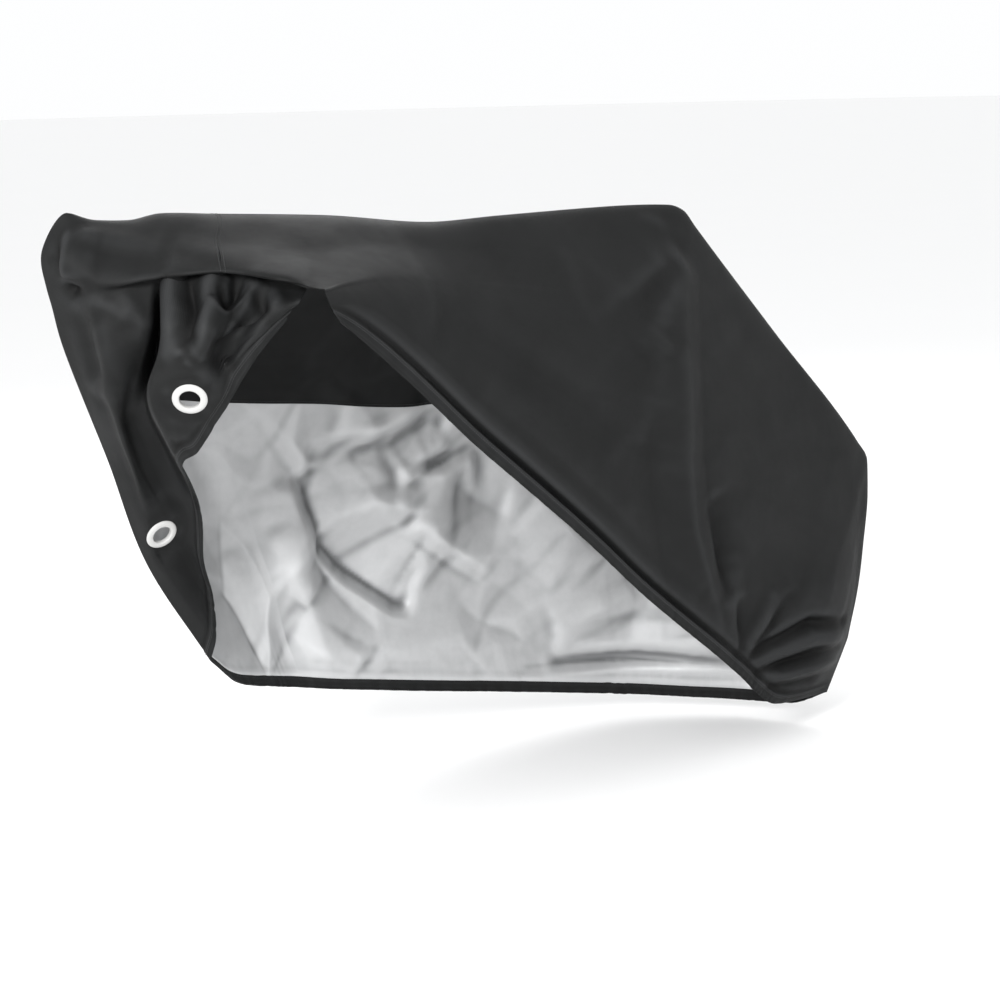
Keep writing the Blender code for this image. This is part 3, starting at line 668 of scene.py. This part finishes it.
def bend_of(points, height):
    """How sharply the folds bend at each point of a grid, from -1 in a crease to 1 on a ridge."""
    bend = np.zeros(height.shape)
    middle = slice(BEND_REACH, -BEND_REACH)
    for axis in (0, 1):
        along, level = np.moveaxis(points, axis, 0), np.moveaxis(height, axis, 0)
        turn, gap = np.zeros(level.shape), np.ones(level.shape)
        turn[middle] = 2 * level[middle] - level[:-2 * BEND_REACH] - level[2 * BEND_REACH:]
        gap[middle] = np.linalg.norm(along[2 * BEND_REACH:] - along[:-2 * BEND_REACH], axis=-1) / 2
        bend += np.moveaxis(turn / (gap ** 2 + BEND_ROUND ** 2), 0, axis)
    return np.clip(bend / 30, -1, 1)


def grid_quads(index, near, keep=slice(None)):
    """The grid's faces as rows of four points, or only those to keep."""
    corners = [index[:-1, :-1], index[1:, :-1], index[1:, 1:], index[:-1, 1:]]
    if near:
        corners.reverse()
    return np.stack(corners, axis=-1)[keep].reshape(-1, 4)


def grid_index(grid, start):
    return start + np.arange(grid["from_hem"].size).reshape(grid["from_hem"].shape)


def merged(grids, field):
    return np.concatenate([grid[field].reshape(grid["from_hem"].size, -1) for grid in grids])


def new_object(name, data):
    made = bpy.data.objects.new(name, data)
    bpy.context.scene.collection.objects.link(made)
    return made


def new_thing(name, points, quads):
    """An object in the scene with these points and four-sided faces."""
    mesh = bpy.data.meshes.new(name)
    mesh.from_pydata(points.reshape(-1, 3) - CARRIED_AT, [], quads.reshape(-1, 4).tolist())
    mesh.shade_smooth()
    return new_object(name, mesh)


def shell(name, quads, grids):
    """A thick sheet from these grids: black, but silver inside from the lining's edge to the hem."""
    used, quads = np.unique(quads, return_inverse=True)
    quads = quads.reshape(-1, 4)
    points, out, cloth_at = (merged(grids, field)[used] for field in ("points", "out", "cloth_at"))
    from_hem, painted_shading, lined = (merged(grids, field)[used, 0] for field in ("from_hem", "painted_shading", "lined"))
    count = len(points)
    turned = smooth((HEM_WIDTH - from_hem) / 0.002)[:, None]
    inner = points - out * turned * HEM_THICKNESS
    outer = points + out * SHEET
    edges = np.stack((quads, np.roll(quads, -1, axis=1)), axis=-1).reshape(-1, 2)
    code = edges[:, 0] * count + edges[:, 1]
    border = edges[~np.isin(edges[:, 1] * count + edges[:, 0], code)]
    rim = np.stack((border[:, 1], border[:, 0], border[:, 0] + count, border[:, 1] + count), axis=-1)
    faces = np.concatenate((quads, quads[:, ::-1] + count, rim))
    silver = (from_hem[quads].mean(axis=1) > HEM_WIDTH) & lined[quads].any(axis=1)
    finish = np.concatenate((np.zeros(len(quads), int), silver.astype(int), np.zeros(len(rim), int)))
    thing = new_thing(name, np.concatenate((outer, inner)), faces)
    mesh = thing.data
    mesh.polygons.foreach_set("material_index", finish)
    corner = np.concatenate((cloth_at, cloth_at))[faces.ravel()]
    mesh.uv_layers.new(name="cloth").uv.foreach_set("vector", corner.astype(np.float32).ravel())
    # The folds' bend, for the materials' painted highlight on ridges and painted shade in creases.
    paint_shading = mesh.attributes.new("painted_shading", "FLOAT", "POINT")
    paint_shading.data.foreach_set("value", np.concatenate((painted_shading, painted_shading)).astype(np.float32))
    mesh.set_sharp_from_angle(angle=math.radians(60))
    return thing


def front_panel():
    """The nose, which wraps round to the far side, and the flap under the band."""
    near = panel_grid(front_surface, np.concatenate((NOSE_AT, FLAP_AT[1:])), True, front_heights, even_trough)
    far = panel_grid(far_surface, NOSE_AT, False, far_heights, even_trough)
    near_index = grid_index(near, 0)
    far_index = grid_index(far, near_index.size)
    far_index[0] = near_index[0]
    far_index[:, 0] = near_index[:len(NOSE_AT), 0]
    keep = faces_outside_holes(near["points"], True)
    keep[len(NOSE_AT) - 1:, :BAND_ROWS] = False
    quads = np.concatenate((grid_quads(near_index, True, keep), grid_quads(far_index, False)))
    return shell("front_cloth", quads, (near, far)), near, far


def near_panel():
    """The band beside the flap, and the near side behind it."""
    grid = panel_grid(near_surface, NEAR_AT, True, near_heights, near_trough)
    index = grid_index(grid, 0)
    keep = np.ones((index.shape[0] - 1, index.shape[1] - 1), bool)
    keep[:APEX_RIB, BAND_ROWS:] = False
    return shell("near_cloth", grid_quads(index, True, keep), (grid,)), grid


def far_panel():
    grid = panel_grid(far_surface, FAR_AT, False, far_heights, even_trough)
    return shell("far_cloth", grid_quads(grid_index(grid, 0), False), (grid,)), grid


def read_line(at, length, points):
    """The points of a line at these lengths along it."""
    return np.stack([np.interp(at, length, points[:, axis]) for axis in range(3)], axis=-1)


def hem_lines(grid, first=0):
    """Points and directions along the hem's two rows of stitches, from this rib on."""
    lengths, *fields = (grid[field][first:, ::-1] for field in ("from_hem", "points", "out"))
    return [[np.array([read_line(distance, *rib) for rib in zip(lengths, field)]) for field in fields]
            for distance in HEM_ROWS_AT]


def evenly(points, out):
    """The same line again, with a point for each stitch."""
    length = np.concatenate(([0], np.cumsum(np.linalg.norm(np.diff(points, axis=0), axis=1))))
    at = np.arange(STITCH_SPACING / 2, length[-1], STITCH_SPACING)
    along = read_line(at + 0.001, length, points) - read_line(at - 0.001, length, points)
    return read_line(at, length, points), read_line(at, length, out), along


def stitch_shape():
    """One stitch: a short thread that dips into the cloth at both ends, as points and faces."""
    rings = []
    for share in (-1.0, -0.7, 0.0, 0.7, 1.0):
        radius = STITCH_RADIUS * (0.35 if abs(share) == 1 else 1.0)
        for turn in np.arange(6) * math.tau / 6:
            rings.append((share * STITCH_LENGTH / 2, radius * math.cos(turn),
                          radius * math.sin(turn) + STITCH_RADIUS * (0.9 - 1.3 * share ** 2)))
    faces = [(ring * 6 + side, ring * 6 + (side + 1) % 6, ring * 6 + 6 + (side + 1) % 6, ring * 6 + 6 + side)
             for ring in range(4) for side in range(6)]
    return np.array(rings), np.array(faces)


def stitches(name, lines):
    """All the stitches of one panel, from lines of points and directions outwards."""
    shape, faces = stitch_shape()
    points = []
    for line, out in lines:
        spots, facing, along = evenly(line + out * SHEET, out)
        along /= np.linalg.norm(along, axis=1, keepdims=True)
        across = np.cross(facing, along)
        across /= np.linalg.norm(across, axis=1, keepdims=True)
        up = np.cross(along, across)
        points.append(spots[:, None] + shape[None, :, :1] * along[:, None]
                      + shape[None, :, 1:2] * across[:, None] + shape[None, :, 2:] * up[:, None])
    points = np.concatenate(points)
    starts = np.arange(len(points))[:, None, None] * len(shape)
    return new_thing(name, points, faces[None] + starts)


def seam_line(grid, rib, rows):
    """Points and directions down one rib of a grid."""
    return grid["points"][rib, :rows], grid["out"][rib, :rows]


def row_line(grid, row, side=1):
    """Points and directions along one row of a grid, outside it (side 1) or inside it (side -1)."""
    inside = SHEET if side < 0 else 0.0
    out = grid["out"][:, row] * side
    return grid["points"][:, row] - out * inside, out


EYELET_RINGS = (  # radius and height above the cloth's inner face in millimetres, over flange and bore
    (16, 3.8), (16.25, 4.8), (17, 5.5), (18.5, 5.8), (20.5, 5.8), (22.5, 5.5), (24.5, 4.9), (26.1, 4),
    (26.8, 3.2), (27, 2.4), (26.9, 1.8), (26, 1.6), (18.6, 1.6), (18.6, -0.3), (22, -0.3), (23.4, -0.6),
    (23.5, -1.2), (23, -1.8), (17, -2), (16.2, -1.6), (16, -0.8),
)
EYELET_TURNS = 96


def eyelet(name, node, seat):
    """One eyelet, turned from its rings."""
    centre, facing = seat_of(*seat)
    side = np.cross(facing, (0.0, 0.0, 1.0))
    side /= np.linalg.norm(side)
    third = np.cross(facing, side)
    angle = np.arange(EYELET_TURNS) * math.tau / EYELET_TURNS
    spoke = np.cos(angle)[:, None] * side + np.sin(angle)[:, None] * third
    rings = np.array(EYELET_RINGS) * MILLIMETRE
    points = np.stack([centre + radius * spoke + height * facing for radius, height in rings], axis=1)
    count = len(EYELET_RINGS)
    index = np.arange(EYELET_TURNS * count).reshape(EYELET_TURNS, count)
    index = np.concatenate((index, index[:1]))
    index = np.concatenate((index, index[:, :1]), axis=1)
    ring = new_thing(name, points, grid_quads(index, True))
    ring.data.set_sharp_from_angle(angle=math.radians(50))
    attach(ring, "root")
    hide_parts(node)
    return ring


class Finish:
    """A material's node tree, with short ways to add the nodes that these finishes share."""

    def __init__(self, name, colour, roughness, metallic=0.0, specular=0.5):
        self.material = bpy.data.materials.new(name)
        self.material.use_nodes = True
        self.tree = self.material.node_tree
        self.shader = self.tree.nodes["Principled BSDF"]
        looks = {"Base Color": (*colour, 1.0), "Roughness": roughness, "Metallic": metallic,
                 "Specular IOR Level": specular}
        for socket, value in looks.items():
            self.shader.inputs[socket].default_value = value
        self.colour = colour
        self.bump = None

    def node(self, kind, inputs=(), **values):
        made = self.tree.nodes.new(kind)
        for key, value in values.items():
            setattr(made, key, value)
        for socket, value in dict(inputs).items():
            made.inputs[socket].default_value = value
        return made

    def link(self, start, end):
        self.tree.links.new(start, end)

    def noise(self, scale, detail=3.0):
        made = self.node("ShaderNodeTexNoise", {"Scale": scale, "Detail": detail})
        self.link(self.node("ShaderNodeTexCoord").outputs["Object"], made.inputs["Vector"])
        return made.outputs["Fac"]

    def ramp(self, value, low, high):
        """The value's middle range spread from one number to another."""
        ends = {"From Min": 0.3, "From Max": 0.7, "To Min": low, "To Max": high}
        made = self.node("ShaderNodeMapRange", ends)
        self.link(value, made.inputs["Value"])
        return made.outputs["Result"]

    def maths(self, operation, first, second):
        made = self.node("ShaderNodeMath", operation=operation)
        for socket, value in zip(made.inputs, (first, second)):
            if isinstance(value, (int, float)):
                socket.default_value = value
            else:
                self.link(value, socket)
        return made.outputs[0]

    def add_bump(self, height, distance, strength):
        made = self.node("ShaderNodeBump", {"Distance": distance, "Strength": strength})
        self.link(height, made.inputs["Height"])
        if self.bump:
            self.link(self.bump.outputs["Normal"], made.inputs["Normal"])
        self.bump = made
        self.link(made.outputs["Normal"], self.shader.inputs["Normal"])

    def vary_roughness(self, value, low, high):
        self.link(self.ramp(value, low, high), self.shader.inputs["Roughness"])

    def vary_colour(self, share, other):
        """Mix towards another colour by this share, on top of the mixes before."""
        mix = self.node("ShaderNodeMix", data_type="RGBA")
        self.link(share, mix.inputs["Factor"])
        before = self.shader.inputs["Base Color"]
        if before.links:
            self.link(before.links[0].from_socket, mix.inputs["A"])
        else:
            mix.inputs["A"].default_value = (*self.colour, 1.0)
        mix.inputs["B"].default_value = (*other, 1.0)
        self.link(mix.outputs["Result"], before)

    def paint_shading(self, share, side, other):
        """Paint light and shade into the colour by the folds' bend: mix towards another colour on the
        outside's ridges (side 1) or in its creases (side -1).
        """
        bend = self.node("ShaderNodeAttribute", attribute_name="painted_shading").outputs["Fac"]
        self.vary_colour(self.maths("MAXIMUM", self.maths("MULTIPLY", bend, side * share), 0.0), other)

    def weave(self, pitch):
        """Threads that cross, as heights from 0 to 1."""
        threads = []
        where = self.node("ShaderNodeUVMap", uv_map="cloth").outputs["UV"]
        looks = {"Scale": 0.314 / pitch, "Distortion": 0.4, "Detail": 1.0}
        for direction in ("X", "Y"):
            wave = self.node("ShaderNodeTexWave", looks, wave_type="BANDS", bands_direction=direction)
            self.link(where, wave.inputs["Vector"])
            threads.append(wave.outputs["Fac"])
        return self.maths("MULTIPLY", *threads)


def black_cloth():
    finish = Finish("black_coated_polyester", (0.0062, 0.0065, 0.0066), 0.62, specular=0.15)
    weave = finish.weave(0.0011)
    finish.vary_colour(finish.ramp(finish.noise(5.0), 0.0, 0.40), (0.011, 0.0114, 0.0116))
    finish.vary_colour(finish.maths("MULTIPLY", weave, 0.22), (0.020, 0.0205, 0.021))
    # Painted highlight: lighter on the ridges; painted shade: darker in the creases.
    finish.paint_shading(0.60, 1, (0.028, 0.029, 0.030))
    finish.paint_shading(0.80, -1, (0.003, 0.003, 0.003))
    finish.vary_roughness(finish.noise(9.0), 0.54, 0.66)
    finish.add_bump(finish.noise(16.0), 0.0030, 0.55)
    finish.add_bump(finish.noise(70.0, 2.0), 0.0008, 0.45)
    finish.add_bump(weave, 0.00022, 0.8)
    return finish.material


def silver_coating():
    finish = Finish("silver_coating", (0.50, 0.505, 0.51), 0.42, metallic=0.35, specular=0.5)
    finish.vary_colour(finish.ramp(finish.noise(4.0, 4.0), 0.0, 0.4), (0.43, 0.435, 0.44))
    finish.vary_colour(finish.ramp(finish.noise(45.0, 4.0), 0.0, 0.18), (0.32, 0.325, 0.335))
    # Painted highlight: lighter on the inside's ridges (the outside's creases); painted shade: darker in the
    # inside's creases.
    finish.paint_shading(0.55, -1, (0.62, 0.625, 0.63))
    finish.paint_shading(0.90, 1, (0.16, 0.163, 0.167))
    finish.vary_roughness(finish.noise(7.0), 0.36, 0.50)
    finish.add_bump(finish.noise(11.0), 0.0025, 0.50)
    finish.add_bump(finish.noise(55.0), 0.0010, 0.40)
    finish.add_bump(finish.weave(0.0011), 0.00010, 0.5)
    return finish.material


def white_plastic():
    finish = Finish("white_plastic", (0.44, 0.44, 0.432), 0.34, specular=0.3)
    finish.vary_colour(finish.ramp(finish.noise(60.0, 4.0), 0.0, 0.30), (0.38, 0.38, 0.37))
    finish.vary_roughness(finish.noise(120.0), 0.28, 0.44)
    finish.add_bump(finish.noise(900.0, 2.0), 0.00006, 0.6)
    return finish.material


def black_thread():
    finish = Finish("black_thread", (0.018, 0.0185, 0.019), 0.5, specular=0.4)
    finish.vary_colour(finish.ramp(finish.noise(30.0), 0.0, 0.5), (0.034, 0.035, 0.036))
    finish.add_bump(finish.noise(2500.0, 2.0), 0.0002, 0.7)
    return finish.material


def pale_floor():
    finish = Finish("pale_floor", (0.94, 0.94, 0.94), 0.7, specular=0.2)
    finish.vary_colour(finish.ramp(finish.noise(1.5), 0.0, 0.3), (0.93, 0.93, 0.93))
    return finish.material


# The camera that matches the photo's view
CAMERA_AT = (-2.2796, -2.9577, 0.2646)
CAMERA_YAW = 0.5962
CAMERA_PITCH = -0.2028
CAMERA_ROLL = -0.0247
CAMERA_LENS = 76.66
GROUND = -1.02
LIGHTS = (  # name, place, aimed at, width, watts
    ("key", (-3.8, -2.4, 1.5), (-0.2, 0.0, -0.3), 1.2, 230.0),
    ("front_fill", (1.6, -4.0, 0.9), (0.0, 0.0, -0.4), 2.0, 24.0),
    ("top", (0.2, -0.4, 2.8), (0.0, 0.0, 0.0), 2.0, 9.0),
    ("back", (1.4, 3.4, 1.9), (0.0, 0.0, -0.3), 2.4, 42.0),
)


def make_camera():
    forward = np.array((math.sin(CAMERA_YAW) * math.cos(CAMERA_PITCH),
                        math.cos(CAMERA_YAW) * math.cos(CAMERA_PITCH), math.sin(CAMERA_PITCH)))
    level = np.array((math.cos(CAMERA_YAW), -math.sin(CAMERA_YAW), 0.0))
    upright = np.cross(level, forward)
    right = math.cos(CAMERA_ROLL) * level + math.sin(CAMERA_ROLL) * upright
    up = -math.sin(CAMERA_ROLL) * level + math.cos(CAMERA_ROLL) * upright
    camera = new_object("camera", bpy.data.cameras.new("camera"))
    camera.data.lens = CAMERA_LENS
    camera.data.sensor_width = 36.0
    turn = Matrix(np.stack((right, up, -forward), axis=1).tolist()).to_4x4()
    camera.matrix_world = Matrix.Translation(CAMERA_AT) @ turn
    bpy.context.scene.camera = camera


def make_lights():
    for name, place, aim, width, watts in LIGHTS:
        light = bpy.data.lights.new(name, "AREA")
        light.size = width
        light.energy = watts
        lamp = new_object(name, light)
        lamp.location = place
        lamp.rotation_euler = (Vector(aim) - Vector(place)).to_track_quat("-Z", "Y").to_euler()
    world = bpy.data.worlds.new("studio")
    world.use_nodes = True
    sky = world.node_tree.nodes["Background"]
    sky.inputs["Color"].default_value = (0.99, 0.995, 1.0, 1.0)
    sky.inputs["Strength"].default_value = 1.0
    bpy.context.scene.world = world
    bpy.context.scene.view_settings.view_transform = "Standard"


def make_floor():
    bpy.ops.mesh.primitive_circle_add(vertices=96, radius=60, fill_type="NGON", location=(0, 0, GROUND))
    floor = bpy.context.object
    floor.name = "floor"
    floor.data.materials.append(pale_floor())


def add_piece(piece, materials):
    for material in materials:
        piece.data.materials.append(material)
    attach(piece, "root")


def main():
    make_camera()
    make_lights()
    make_floor()
    black, silver, thread, plastic = black_cloth(), silver_coating(), black_thread(), white_plastic()

    front, front_near, front_far = front_panel()
    near, near_grid = near_panel()
    far, far_grid = far_panel()
    for piece, node, slot in ((front, "front_panel", "outer_cloth"), (near, "side_panel_near", "outer_cloth"),
                              (far, "side_panel_far", "coated_cloth")):
        add_piece(piece, (black, silver))
        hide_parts(node)

    seam = len(NOSE_AT) - 1
    lines = {
        "front": hem_lines(front_near) + hem_lines(front_far)
                 + [seam_line(front_near, seam - 1, BAND_ROWS), seam_line(front_far, seam - 1, None)],
        "near": hem_lines(near_grid, APEX_RIB)
                + [seam_line(near_grid, 1, BAND_ROWS), row_line(near_grid, 1)],
        "far": hem_lines(far_grid) + [seam_line(far_grid, 1, None), row_line(far_grid, 1),
                                      row_line(far_grid, LINING_ROW - 1, -1)],
    }
    threads = {}
    for side, panel_lines in lines.items():
        threads[side] = stitches(side + "_stitches", panel_lines)
        add_piece(threads[side], (thread,))

    for name, *seat in EYELETS:
        ring = eyelet(name + "_ring", name, seat)
        ring.data.materials.append(plastic)


main()
